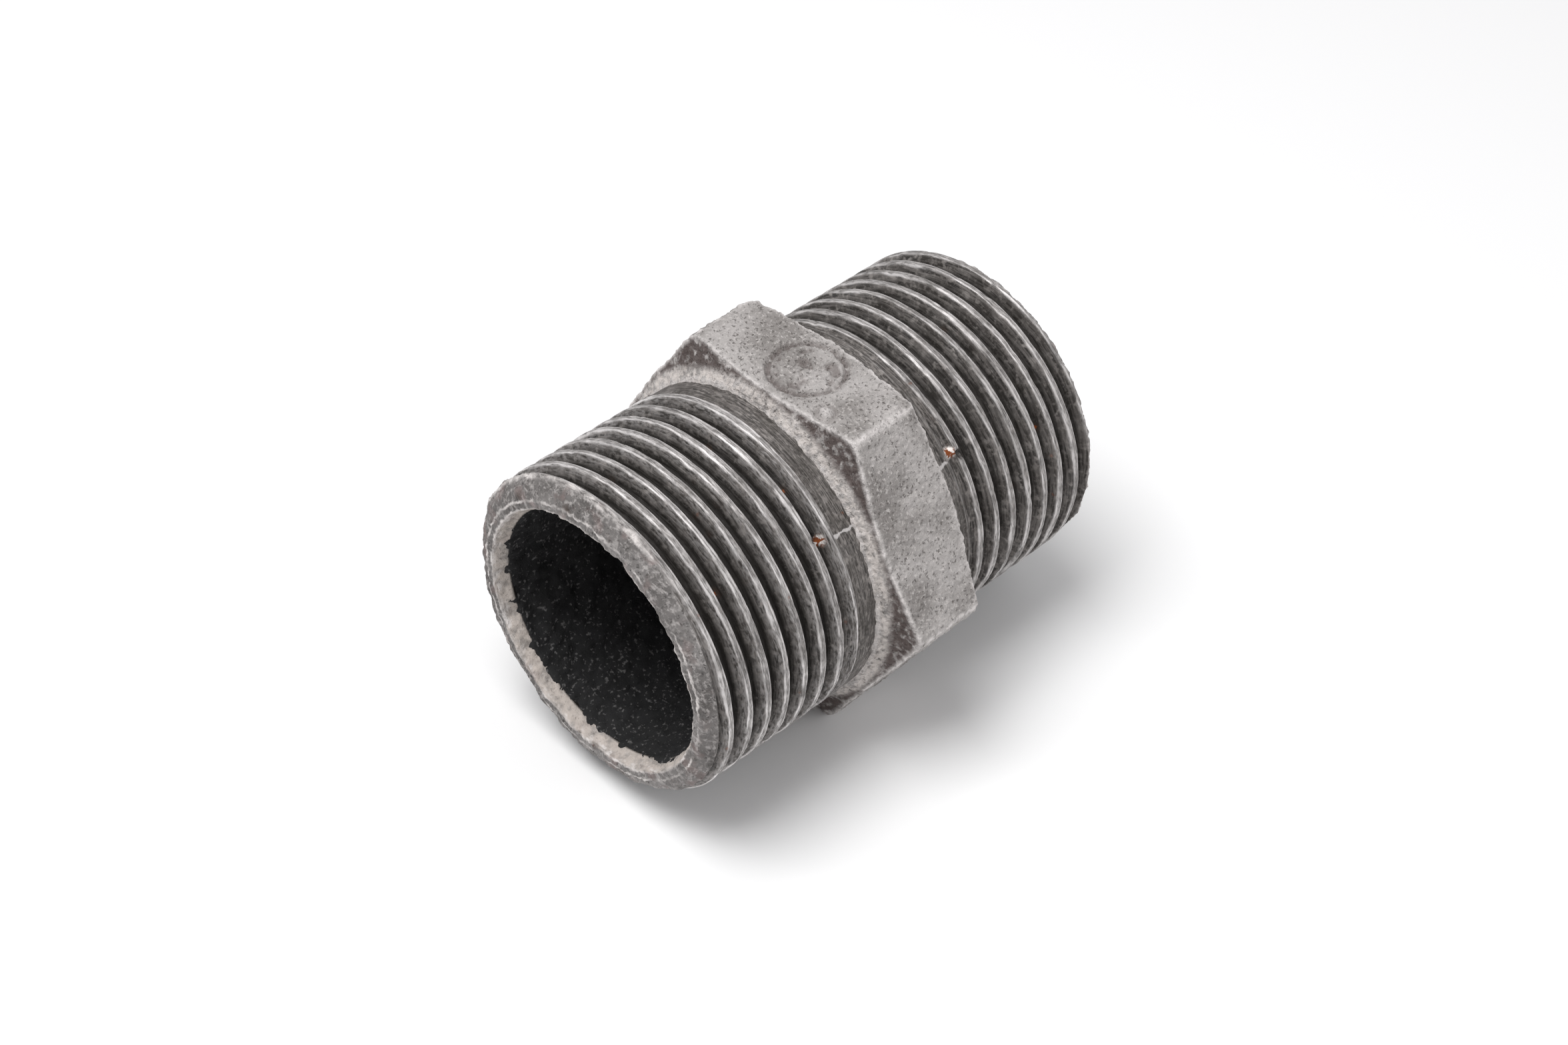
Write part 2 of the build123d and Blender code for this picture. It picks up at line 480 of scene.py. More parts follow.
def raise_bumps(tree, shader, height, reach, strength=1.0):
    """Shades the surface as if this height, times its reach in millimetres, stood on it."""
    bump = add_node(tree, "ShaderNodeBump", Strength=strength, Distance=reach * MM, Height=height)
    plug(tree, bump["Normal"], shader.inputs["Normal"])


# %% [markdown]
# ### Sand grain
# Blasted cast iron looks like fine salt and pepper: pale grains that catch the light between
# dark pits, over a slow mottle. One group makes it for every cast face.

# %% Group: sand grain
def sand_grain_group():
    """Light and dark specks, a slow mottle and a height, for any cast face."""
    tree, given, result = new_tree("Sand grain", "ShaderNodeTree", [
        ("Place", "Vector"),
        ("Grain size", "Float", 0.4),
    ], [
        ("Pale grains", "Float"),
        ("Dark pits", "Float"),
        ("Mottle", "Float"),
        ("Height", "Float"),
    ])
    place, size = given["Place"], given["Grain size"]
    fine = noise(tree, place, size, detail=5.0, roughness=0.65)
    finer = noise(tree, place, product(tree, size, 0.45), detail=3.0, seed=3.0)
    spots = grains(tree, place, product(tree, size, 1.3))[0]
    plug(tree, ramp(tree, fine, 0.5, 0.66), result["Pale grains"])
    pits = product(tree, ramp(tree, finer, 0.5, 0.64), ramp(tree, spots, 0.6, 0.2))
    plug(tree, pits, result["Dark pits"])
    plug(tree, noise(tree, place, 4.0, detail=3.0, seed=7.0), result["Mottle"])
    height = scale_and_add(tree, finer, 0.5, fine)
    plug(tree, scale_and_add(tree, pits, -0.5, height), result["Height"])
    return tree


# %% [markdown]
# ### Tool marks
# A die or a lathe tool leaves fine lines that run round the pipe. Noise on cylindrical
# coordinates, stretched far round and squeezed along the pipe, gives lines that never quite
# close, as the real ones do.

# %% Group: tool marks
def tool_marks_group():
    """Fine lines that run round the pipe, and shorter scratches along them."""
    tree, given, result = new_tree("Tool marks", "ShaderNodeTree", [
        ("Place", "Vector"),
        ("Line width", "Float", 0.05),
    ], [("Lines", "Float"), ("Scratches", "Float")])
    x, _, turn = round_the_pipe(tree, given["Place"])
    around = product(tree, turn, math.tau)
    along = minus(tree, x, product(tree, turn, PITCH))
    across = maths(tree, "DIVIDE", along, given["Line width"])
    circle = [maths(tree, wave, around) for wave in ("SINE", "COSINE")]
    for label, reach, detail, seed in (("Lines", 6.0, 2.0, 0.0), ("Scratches", 22.0, 3.0, 5.0)):
        stretched = together(tree, across, *[product(tree, part, reach) for part in circle])
        plug(tree, noise(tree, stretched, 1.0, detail=detail, seed=seed), result[label])
    return tree


# %% [markdown]
# ### Rust
# Bare iron rusts first where damp sits, in the roots, as a few small orange specks with a brown
# halo. Large sparse cells give the places, and fine noise breaks up their edges.

# %% Group: rust specks
def rust_group():
    """A mask of a few small specks, and a wider brown stain round them."""
    tree, given, result = new_tree("Rust specks", "ShaderNodeTree", [
        ("Place", "Vector"),
        ("Spacing", "Float", 4.0),
        ("Speck size", "Float", 0.25),
    ], [("Specks", "Float"), ("Stain", "Float")])
    cell_distance, cell_colour = grains(tree, given["Place"], given["Spacing"])
    distance = product(tree, cell_distance, given["Spacing"])
    ragged = scale_and_add(tree, noise(tree, given["Place"], 0.2, detail=3.0), 0.5, distance)
    chosen = ramp(tree, apart(tree, cell_colour)[0], 0.5, 0.54)
    near = minus(tree, ragged, 0.25)
    speck = ramp(tree, near, given["Speck size"], product(tree, given["Speck size"], 0.5))
    stain = ramp(tree, near, product(tree, given["Speck size"], 3.5), 0.0)
    plug(tree, product(tree, speck, chosen), result["Specks"])
    plug(tree, product(tree, stain, chosen), result["Stain"])
    return tree


# %% [markdown]
# ### Speckled iron
# The colour of any cast face, built on the sand grain: two greys in a slow mottle, with pale
# grains and dark pits over them.

# %% Group: speckled iron
def speckled_iron_group():
    """A cast colour from four greys, with its height."""
    tree, given, result = new_tree("Speckled iron", "ShaderNodeTree", [
        ("Place", "Vector"),
        ("Grain size", "Float", 0.4),
        ("Dull", "Color", grey(0.25)),
        ("Bright", "Color", grey(0.4)),
        ("Grains", "Color", grey(0.6)),
        ("Pits", "Color", grey(0.1)),
    ], [
        ("Colour", "Color"),
        ("Pale grains", "Float"),
        ("Mottle", "Float"),
        ("Height", "Float"),
    ])
    grain = use(tree, SAND_GRAIN, Place=given["Place"], Grain_size=given["Grain size"])
    colour = mix_colour(tree, ramp(tree, grain["Mottle"], 0.35, 0.65), given["Dull"], given["Bright"])
    colour = mix_colour(tree, product(tree, grain["Pale grains"], 0.75), colour, given["Grains"])
    colour = mix_colour(tree, product(tree, grain["Dark pits"], 0.9), colour, given["Pits"])
    plug(tree, colour, result["Colour"])
    for label in ("Pale grains", "Mottle", "Height"):
        plug(tree, grain[label], result[label])
    return tree


SAND_GRAIN = sand_grain_group()
SPECKLED_IRON = speckled_iron_group()
TOOL_MARKS = tool_marks_group()
RUST_SPECKS = rust_group()
RUST_ORANGE = (0.24, 0.062, 0.014, 1.0)
RUST_BROWN = (0.05, 0.028, 0.018, 1.0)
# The brown below is dirt and painted shade for the hollows of the hexagon.
DIRT_AND_SHADE_BROWN = (0.088, 0.062, 0.056, 1.0)
PLUM = (0.25, 0.185, 0.175, 1.0)
print("shader groups", [group.name for group in (SAND_GRAIN, SPECKLED_IRON, TOOL_MARKS, RUST_SPECKS)])


# %% [markdown]
# ### Cast skin of the hexagon
# Mid grey and speckled. The edges, the parting seam and the nub are painted paler, partly as
# wear and partly as painted highlight; the shoulder cones are painted paler, partly as wear and
# partly as painted light; the hollow in front of each corner and the sunk ring are painted dirty
# brown, partly as dirt and partly as painted shade. The mesh carries the `edge` and `hollow`
# masks, because it knows where its corners are.

# %% Material: cast skin
def cast_skin_material():
    """The sand-cast, blasted skin of the hexagon and its shoulders."""
    material, tree, shader = new_material("cast_iron_skin")
    place = place_in_mm(tree)
    grain = use(tree, SPECKLED_IRON, Place=place, Grain_size=0.36, Dull=grey(0.27, 0.035),
                Bright=grey(0.47, 0.018), Grains=grey(0.64, 0.02), Pits=grey(0.16, 0.07))
    rust = use(tree, RUST_SPECKS, Place=place, Spacing=7.0, Speck_size=0.12)
    colour = grain["Colour"]
    # The shoulder cones are painted paler, partly as wear and partly as painted light.
    worn_and_lit_shoulder = ramp(tree, absolute(tree, apart(tree, place)[0]), 4.6, 5.2)
    strokes = patches(tree, place, 0.6, 18.0, 0.36, 0.58)
    worn_and_lit_shoulder = product(tree, worn_and_lit_shoulder, strokes)
    colour = mix_colour(tree, product(tree, worn_and_lit_shoulder, 0.72), colour, grey(0.72, 0.045))
    # Edges, the parting seam, the rims and the nub are painted paler, partly as wear and partly as painted
    # highlight.
    paler_patches = patches(tree, place, 0.8, 2.0, 0.3, 0.62)
    paler_patches = product(tree, paler_patches, mask_named(tree, "edge"))
    # The hollow in front of each corner and the sunk ring are painted dirty brown, partly as dirt and
    # partly as painted shade.
    dirt = patches(tree, place, 0.7, 9.0, 0.68, 0.48)
    dirt = product(tree, dirt, mask_named(tree, "hollow"))
    colour = mix_colour(tree, paler_patches, colour, grey(0.78, 0.01))
    colour = mix_colour(tree, product(tree, dirt, 0.88), colour, DIRT_AND_SHADE_BROWN)
    colour = mix_colour(tree, product(tree, rust["Specks"], 0.7), colour, RUST_BROWN)
    plug(tree, colour, shader.inputs["Base Color"])
    shader.inputs["Specular IOR Level"].default_value = 0.35
    plug(tree, scale_and_add(tree, grain["Pale grains"], -0.2, 0.78), shader.inputs["Roughness"])
    plug(tree, scale_and_add(tree, paler_patches, 0.35, 0.1), shader.inputs["Metallic"])
    raise_bumps(tree, shader, grain["Height"], 0.28)
    return material


# %% [markdown]
# ### Cut thread
# The die leaves dark metal with fine lines round it. Crests rub on everything and are painted
# bright, partly as that wear and partly as painted highlight, most of all along their two edges;
# the flank that faces the mouth is painted lighter, as painted light; the roots are painted near
# black, partly as cutting oil and dirt and partly as painted shade. All of that follows the
# thread's own coordinate, so it lies exactly on the ridge, and the rough tip faces take the cast
# grain instead.

# %% Parts of the thread finish
def bare_metal(tree, place, marks, bands, grain):
    """The dark metal that the die leaves, with its lines, its grime and a few pale flecks."""
    metal = mix_colour(tree, ramp(tree, marks["Lines"], 0.36, 0.64), grey(0.04, 0.05), grey(0.19, 0.04))
    metal = mix_colour(tree, ramp(tree, bands["Scratches"], 0.5, 0.66), metal, grey(0.28, 0.04))
    grime = patches(tree, place, 2.6, 8.0, 0.36, 0.62, roughness=0.6)
    metal = mix_colour(tree, product(tree, grime, 0.5), metal, grey(0.045, 0.12))
    return mix_colour(tree, product(tree, grain["Pale grains"], 0.35), metal, grey(0.3, 0.05))


def crest_polish_and_highlight(tree, distance, streaks, marks, patchy):
    """Where a crest is painted bright, partly as rubbed wear and partly as painted highlight: along its two
    edges, and in streaks between them.
    """
    wander = minus(tree, noise(tree, streaks, 0.7, detail=3.0, seed=4.0), 0.5)
    shifted = scale_and_add(tree, wander, 0.55, distance)
    crest_edge = ramp(tree, absolute(tree, minus(tree, shifted, CREST_FLAT / 2)), 0.12, 0.02)
    crest_top = ramp(tree, shifted, CREST_FLAT / 2 + 0.2, CREST_FLAT / 2 - 0.02)
    streaky = scale_and_add(tree, ramp(tree, marks["Scratches"], 0.4, 0.62), 0.45, 0.18)
    return maths(tree, "MULTIPLY_ADD", crest_edge, patchy, product(tree, crest_top, streaky), clamp=True)


def parting_line(tree, place, turn):
    """The thin wandering line where the halves of the mould met, on both sides of the pipe."""
    sideways = minus(tree, noise(tree, place, 0.8, detail=3.0, seed=14.0), 0.5)
    straight = maths(tree, "WRAP", minus(tree, turn, PARTING_LINE / 360), 0.25, -0.25)
    from_line = absolute(tree, scale_and_add(tree, sideways, 0.012, straight))
    return ramp(tree, from_line, 0.0022, 0.0007)


def bright_lips(tree, place, radius, patchy, rubbed):
    """The rims of the mouth, of the end face and of the first crest, painted bright partly as wear and
    partly as painted highlight.
    """
    jitter = scale_and_add(tree, noise(tree, place, 0.7, detail=4.0, seed=16.0), 0.7, radius)
    rims = [(BORE_RADIUS + BEVEL_DEPTH, 0.24), (CREST_RADIUS - CHAMFER_DEPTH, 0.2),
            (CREST_RADIUS - 0.2, 0.42)]
    lip_wear_and_highlight = [ramp(tree, absolute(tree, minus(tree, jitter, rim + 0.35)), width, 0.03) for rim, width in rims]
    nearest = maths(tree, "MAXIMUM", maths(tree, "MAXIMUM", lip_wear_and_highlight[0], lip_wear_and_highlight[1]), lip_wear_and_highlight[2])
    return product(tree, product(tree, nearest, patchy), rubbed)


def rough_tip(tree, place, radius, grain, bands, lip_wear_and_highlight):
    """The colour of the end face, the chamfer and the bevel."""
    paler_patches = patches(tree, place, 3.5, 12.0, 0.38, 0.62, roughness=0.6)
    cast = mix_colour(tree, scale_and_add(tree, paler_patches, -0.55, 0.55), grain["Colour"], grey(0.12, 0.04))
    scuffs = product(tree, ramp(tree, bands["Scratches"], 0.52, 0.68), 0.7)
    cast = mix_colour(tree, scuffs, cast, grey(0.42, 0.02))
    blush = patches(tree, place, 2.2, 13.0, 0.52, 0.66, detail=3.0)
    cast = mix_colour(tree, product(tree, blush, 0.45), cast, PLUM)
    bevel_rim = BORE_RADIUS + BEVEL_DEPTH
    bevel = ramp(tree, radius, bevel_rim + 0.15, bevel_rim - 0.15)
    rubbed_bevel = patches(tree, place, 0.9, 19.0, 0.34, 0.6)
    bevel = product(tree, bevel, scale_and_add(tree, rubbed_bevel, 0.45, 0.35))
    cast = mix_colour(tree, bevel, cast, grey(0.58, 0.08))
    # The rims are painted bright, partly as wear and partly as painted highlight.
    return mix_colour(tree, lip_wear_and_highlight, cast, grey(0.74, 0.02))


def rust_and_damage(tree, given, place, root, colour):
    """Rust stains and specks, most of them in the roots, then the chip and the pit."""
    rust = use(tree, RUST_SPECKS, Place=place, Spacing=2.9, Speck_size=0.24)
    stain = product(tree, rust["Stain"], scale_and_add(tree, root, 0.7, 0.15))
    colour = mix_colour(tree, stain, colour, RUST_BROWN)
    speck = product(tree, rust["Specks"], scale_and_add(tree, root, 0.65, 0.3))
    colour = mix_colour(tree, speck, colour, RUST_ORANGE)
    flake = patches(tree, place, 0.5, 17.0, 0.45, 0.55, detail=2.0)
    flake = mix_colour(tree, flake, RUST_ORANGE, grey(0.8, 0.03))
    colour = mix_colour(tree, spot(tree, place, given["Chip"], 0.85), colour, flake)
    return mix_colour(tree, spot(tree, place, given["Pit"], 0.7), colour, grey(0.01, 0.3))


# %% Group: thread finish
def thread_finish_group():
    """Colour, metal, roughness and height of a threaded end, whichever end it is."""
    tree, given, result = new_tree("Thread finish", "ShaderNodeTree", [
        ("Place", "Vector"),
        ("Tip", "Float"),
        ("Side", "Float", 1.0),
        ("Crest at", "Float"),
        ("Thread start", "Float", 8.0),
        ("Crest shine", "Float", 1.0),
        ("Root dirt", "Float", 0.9),
        ("Pit", "Vector"),
        ("Chip", "Vector"),
    ], [
        ("Colour", "Color"),
        ("Metallic", "Float"),
        ("Roughness", "Float"),
        ("Height", "Float"),
    ])
    place, tip, side = given["Place"], given["Tip"], given["Side"]
    x, radius, turn = round_the_pipe(tree, place)
    offset = offset_from_crest(tree, x, turn, given["Crest at"])
    streaks = along_thread(tree, x, turn, 9.0)
    marks = use(tree, TOOL_MARKS, Place=place, Line_width=0.1)
    bands = use(tree, TOOL_MARKS, Place=place, Line_width=0.26)
    grain = use(tree, SPECKLED_IRON, Place=place, Grain_size=0.42, Dull=grey(0.1, 0.035),
                Bright=grey(0.25, 0.015), Grains=grey(0.5, 0.02), Pits=grey(0.035, 0.08))
    past_start = minus(tree, product(tree, x, side), given["Thread start"])
    on_thread = ramp(tree, past_start, -0.1, 0.1)
    depth = ramp(tree, radius, CREST_RADIUS - THREAD_DEPTH, CREST_RADIUS, smooth=False)
    root = product(tree, ramp(tree, depth, 0.5, 0.12), on_thread)

    metal = bare_metal(tree, place, marks, bands, grain)
    # Roots are painted near black, partly as dirt and oil and partly as painted shade.
    metal = mix_colour(tree, product(tree, root, given["Root dirt"]), metal, grey(0.012, 0.14))
    # The flank that faces the mouth is painted lighter, as painted light.
    toward_mouth = ramp(tree, product(tree, offset, side), 0.15, 0.5)
    painted_light_flank = product(tree, product(tree, toward_mouth, ramp(tree, depth, 0.3, 0.85)), on_thread)
    painted_light_flank = product(tree, painted_light_flank, ramp(tree, marks["Scratches"], 0.42, 0.6))
    metal = mix_colour(tree, product(tree, painted_light_flank, 0.68), metal, grey(0.36, 0.01))

    patchy = patches(tree, streaks, 0.3, 6.0, 0.36, 0.58, roughness=0.6)
    rubbed = patches(tree, place, 3.2, 15.0, 0.34, 0.6, roughness=0.6)
    rubbed = scale_and_add(tree, rubbed, 0.6, 0.36)
    near_top = product(tree, ramp(tree, depth, 0.6, 0.85), on_thread)
    # Crests are painted bright, partly as rubbed wear and partly as painted highlight.
    polish_and_highlight = crest_polish_and_highlight(tree, absolute(tree, offset), streaks, marks, patchy)
    polish_and_highlight = product(tree, product(tree, polish_and_highlight, near_top), rubbed)
    polish_and_highlight = product(tree, polish_and_highlight, given["Crest shine"])
    metal = mix_colour(tree, polish_and_highlight, metal, grey(0.78))
    line = product(tree, parting_line(tree, place, turn), minus(tree, 1.0, on_thread))
    metal = mix_colour(tree, product(tree, line, 0.7), metal, grey(0.7))

    lip_wear_and_highlight = bright_lips(tree, place, radius, patchy, rubbed)
    colour = mix_colour(tree, tip, metal, rough_tip(tree, place, radius, grain, bands, lip_wear_and_highlight))
    plug(tree, rust_and_damage(tree, given, place, root, colour), result["Colour"])
    smooth_metal = minus(tree, 1.0, tip)
    metallic = product(tree, scale_and_add(tree, polish_and_highlight, 0.2, 0.3), smooth_metal)
    plug(tree, metallic, result["Metallic"])
    roughness = scale_and_add(tree, polish_and_highlight, -0.08, 0.62)
    plug(tree, scale_and_add(tree, tip, 0.2, roughness), result["Roughness"])
    lines = maths(tree, "ADD", marks["Lines"], maths(tree, "ADD", marks["Scratches"], bands["Lines"]))
    lines = product(tree, product(tree, lines, smooth_metal), 0.5)
    plug(tree, scale_and_add(tree, grain["Height"], tip, lines), result["Height"])
    return tree


THREAD_FINISH = thread_finish_group()
print("thread finish has", len(THREAD_FINISH.nodes), "nodes")


# %% Material: cut thread
def thread_material(name, side, crest_at, thread_start, shine, dirt, pit, chip):
    """The finish of one threaded end."""
    material, tree, shader = new_material(name)
    finish = use(tree, THREAD_FINISH, Place=place_in_mm(tree), Tip=mask_named(tree, "tip"), Side=side,
                 Crest_at=crest_at, Thread_start=thread_start, Crest_shine=shine, Root_dirt=dirt,
                 Pit=pit, Chip=chip)
    plug(tree, finish["Colour"], shader.inputs["Base Color"])
    for label in ("Metallic", "Roughness"):
        plug(tree, finish[label], shader.inputs[label])
    shader.inputs["Specular IOR Level"].default_value = 0.35
    raise_bumps(tree, shader, finish["Height"], 0.12)
    return material


# %% [markdown]
# ### Bore scale and painted shade
# The cored hole was never machined or blasted. It is painted near black, partly as its dark scale
# and partly as painted shade inside the bore, with a coarse grain whose tips show as faint grey
# dots.

# %% Material: bore scale
def bore_material():
    """The dark scale inside the pipe, painted near black partly as painted shade."""
    material, tree, shader = new_material("bore_scale")
    place = place_in_mm(tree)
    grain = use(tree, SAND_GRAIN, Place=place, Grain_size=0.6)
    dots = patches(tree, place, 0.34, 11.0, 0.57, 0.7, detail=2.0)
    # Near black: the dark scale, and painted shade inside the bore.
    colour = mix_colour(tree, grain["Mottle"], grey(0.014, -0.04), grey(0.032, -0.03))
    colour = mix_colour(tree, product(tree, dots, 0.6), colour, grey(0.2, 0.0))
    plug(tree, colour, shader.inputs["Base Color"])
    shader.inputs["Roughness"].default_value = 0.85
    shader.inputs["Specular IOR Level"].default_value = 0.2
    raise_bumps(tree, shader, grain["Height"], 0.12, 0.9)
    return material


# %% [markdown]
# ## The threaded ends
# Each end is turned as a blank: the neck hidden under the cast shoulder at one side, then the
# thread's full diameter, the chamfer, the end face and the bevel of the mouth. Then the thread
# is cut in it, and last its rough tip gets the cast relief. Both threads are right hand, so the
# same tree with the other side's values makes both.

# %% Make the two threaded ends
END_COLUMNS = 512
THREAD_SPACING = 0.125
HIDDEN = 6.0
CUTTER = thread_cutter()
ROUGHENER = skin_roughener()


def on_skin(x, degrees, below_crest=0.3):
    """The point of the thread at this place along the pipe and this angle from the top line."""
    angle = math.radians(degrees)
    radius = CREST_RADIUS - below_crest
    return (x, -radius * math.sin(angle), radius * math.cos(angle))


def threaded_end(name, side, crest_at, thread_start, seed, shine, dirt, pit, chip):
    """One threaded end of the casting, with its finish."""
    outline = [
        (SHOULDER_END - 0.7, NECK_RADIUS - RIM_DIVE, HIDDEN),
        (SHOULDER_END - 0.5, NECK_RADIUS, 0.2),
        (thread_start - 0.12, NECK_RADIUS, 0.08),
        (thread_start + 0.08, CREST_RADIUS, THREAD_SPACING),
        (CHAMFER_START, CREST_RADIUS, 0.16),
        (CHAMFER_START + 0.5 * CHAMFER_LENGTH, CREST_RADIUS - 0.36 * CHAMFER_DEPTH, 0.16),
        (CHAMFER_START + 0.87 * CHAMFER_LENGTH, CREST_RADIUS - 0.7 * CHAMFER_DEPTH, 0.16),
        (HALF_LENGTH, CREST_RADIUS - CHAMFER_DEPTH, 0.2),
        (HALF_LENGTH, BORE_RADIUS + BEVEL_DEPTH, 0.2),
        (HALF_LENGTH - BEVEL_LENGTH, BORE_RADIUS, 0.3),
        (HALF_LENGTH - BEVEL_LENGTH - 0.7, BORE_RADIUS + 0.5, HIDDEN),
        (HALF_LENGTH - BEVEL_LENGTH - 1.0, BORE_RADIUS + 1.4, HIDDEN),
        (SHOULDER_END - 0.7, BORE_RADIUS + 1.4, HIDDEN),
    ]
    outline = [(side * x, radius, spacing) for x, radius, spacing in outline]
    piece = turned_piece(name, outline, END_COLUMNS, {})
    material = thread_material(name + "_finish", side, crest_at, thread_start, shine, dirt, pit, chip)
    apply_tree(piece, CUTTER, Side=float(side), Crest_at=crest_at, Thread_start=thread_start,
               Crest_wear=0.14, Pit=pit, Chip=chip, Seed=seed, Material=material)
    apply_tree(piece, ROUGHENER, Mask_name="tip", Grain_size=0.6, Grain_height=0.27,
               Lump_size=2.1, Lump_height=0.4, Seed=seed, Material=material)
    print(name, len(piece.data.polygons) * 2, "triangles")
    return piece


# Per end: shine sets how bright the crests' wear and painted highlight are, and the root value how dark the
# roots' dirt and painted shade are.
left_end = threaded_end("left_threaded_end", -1, -15.35, LEFT_THREAD_START, 1.0, shine=1.0, dirt=0.94,
                        pit=on_skin(-9.8, 46.6, 0.3), chip=on_skin(-9.35, 48.6, 0.7))
right_end = threaded_end("right_threaded_end", 1, 15.15, RIGHT_THREAD_START, 2.0, shine=0.88, dirt=0.8,
                         pit=on_skin(8.7, 49.5), chip=on_skin(7.7, 47.5))

# %% [markdown]
# ## The hexagon and its shoulders
# This part is not round, but it still has one radius for each place and angle. For each angle
# the outline goes up the cast shoulder until it meets the flat or the rounded corner, across
# it, and down the other shoulder, so that rows of the mesh lie exactly along the edges of the
# hexagon. A running mean over the rows then rounds those edges as casting and wear have.

# %% The outline at each angle
HEX_COLUMNS = 900
SHOULDER_ROWS = 20
FLAT_ROWS = 60
HEX_SEAM = 53.19
CORNER_ROUNDING = 1.5
HEX_EDGE_AT_CORNERS = 4.0
HEX_EDGE_AT_FLATS = 4.75
FLASH = 0.2
HOLLOW_DEPTH = 0.25
SEAM_HEIGHT = 0.12


def hexagon_radius(angle):
    """Radius of the rounded hexagon at each angle, with flats at the top and bottom."""
    from_flat = np.mod(angle + math.pi / 6, math.pi / 3) - math.pi / 6
    flat = FLAT_DISTANCE / np.cos(from_flat)
    middle = (FLAT_DISTANCE - CORNER_ROUNDING) / math.cos(math.pi / 6)
    from_corner = math.pi / 6 - np.abs(from_flat)
    reach = CORNER_ROUNDING ** 2 - (middle * np.sin(from_corner)) ** 2
    corner = middle * np.cos(from_corner) + np.sqrt(np.maximum(reach, 0))
    tangent = math.atan((FLAT_DISTANCE - CORNER_ROUNDING) * math.tan(math.pi / 6) / FLAT_DISTANCE)
    return np.where(np.abs(from_flat) > tangent, corner, flat)


def shoulder_arc():
    """Centre (x, radius) and size of the arc through the corner, the flat's edge and the neck."""
    corner = np.array([HEX_EDGE_AT_CORNERS, FLAT_DISTANCE / math.cos(math.pi / 6)])
    flat = np.array([HEX_EDGE_AT_FLATS, FLAT_DISTANCE])
    neck = np.array([SHOULDER_END, NECK_RADIUS])
    sides = np.array([flat - corner, neck - corner]) * 2
    squares = np.array([flat @ flat - corner @ corner, neck @ neck - corner @ corner])
    centre = np.linalg.solve(sides, squares)
    return centre, math.hypot(*(corner - centre))


def smoothed(rows, passes):
    """Rows averaged with their neighbours a few times."""
    for _ in range(passes):
        padded = np.concatenate([rows[:1], rows, rows[-1:]])
        rows = (padded[:-2] + 2 * padded[1:-1] + padded[2:]) / 4
    return rows


# %% [markdown]
# A foundry casts its mark into one flat. Here it is only a plain sunk ring with rough iron
# inside it, which stands for any mark.

# %% The plain ring in the top flat
RING_CENTRE = (0.35, -0.35)
RING_RADIUS = 3.6
RING_DEPTH = 0.42
STROKE_DEPTH = 0.3
NUB_CENTRE = (-2.9, -5.9)
NUB_RADIUS = 0.6
NUB_HEIGHT = 0.45


def ring_mark(x, y):
    """Three masks: the groove, the shapeless strokes inside it, and a nub beside it."""
    along, aside = x - RING_CENTRE[0], y - RING_CENTRE[1]
    reach = np.hypot(along, aside)
    groove = np.exp(-((reach - RING_RADIUS) / 0.3) ** 2)
    waves = np.sin(1.7 * along + 1.4 * np.sin(1.3 * aside + 0.5)) + np.sin(2.1 * aside - 1.2 * along + 0.8)
    waves = waves + 0.8 * np.sin(2.9 * along + 1.9 * aside + 1.5 * np.sin(1.1 * along - 2.3 * aside))
    inside = np.clip((RING_RADIUS - 0.3 - reach) / 0.4, 0, 1)
    strokes = np.clip(waves - 0.3, 0, 1) * inside
    from_nub = np.hypot(x - NUB_CENTRE[0], y - NUB_CENTRE[1])
    nub = np.exp(-(from_nub / NUB_RADIUS) ** 2)
    moat = np.exp(-((from_nub - 1.5 * NUB_RADIUS) / 0.25) ** 2)
    return np.maximum(groove, 0.5 * moat), strokes, nub


# %% The rows of the hexagon's skin, and its masks
def torn_border(angle):
    """A small wander along the pipe, which tears the rim of a shoulder."""
    return sum(np.sin(angle * waves + waves) for waves in (7, 13, 29, 47, 83)) * 0.045


def hexagon_rows(angle):
    """x and radius of the closed skin, as arrays of row by angle, from rim to rim and back inside."""
    top = hexagon_radius(angle)
    centre, size = shoulder_arc()
    lift = np.linspace(0, 1, SHOULDER_ROWS)[:, None]
    shoulder_radius = NECK_RADIUS + FLASH + (top - NECK_RADIUS - FLASH) * lift
    shoulder_x = centre[0] - np.sqrt(size ** 2 - (shoulder_radius - centre[1]) ** 2)
    across = np.linspace(1, -1, FLAT_ROWS)[1:-1, None]
    flat_radius = np.repeat(top[None], len(across), 0)
    x = np.concatenate([shoulder_x, across * shoulder_x[-1], -shoulder_x[::-1]])
    radius = np.concatenate([shoulder_radius, flat_radius, shoulder_radius[::-1]])
    x, radius = smoothed(x, 4), smoothed(radius, 4)
    torn = torn_border(angle)
    x[:3] += torn
    x[-3:] += torn[::-1]
    rim_x = np.full((1, HEX_COLUMNS), SHOULDER_END + 0.1) + torn
    rim_radius = np.full((1, HEX_COLUMNS), NECK_RADIUS - RIM_DIVE)
    core_radius = np.full((1, HEX_COLUMNS), BORE_RADIUS + 1.3)
    x = np.concatenate([rim_x, x, -rim_x, -rim_x, rim_x])
    return x, np.concatenate([rim_radius, radius, rim_radius, core_radius, core_radius])


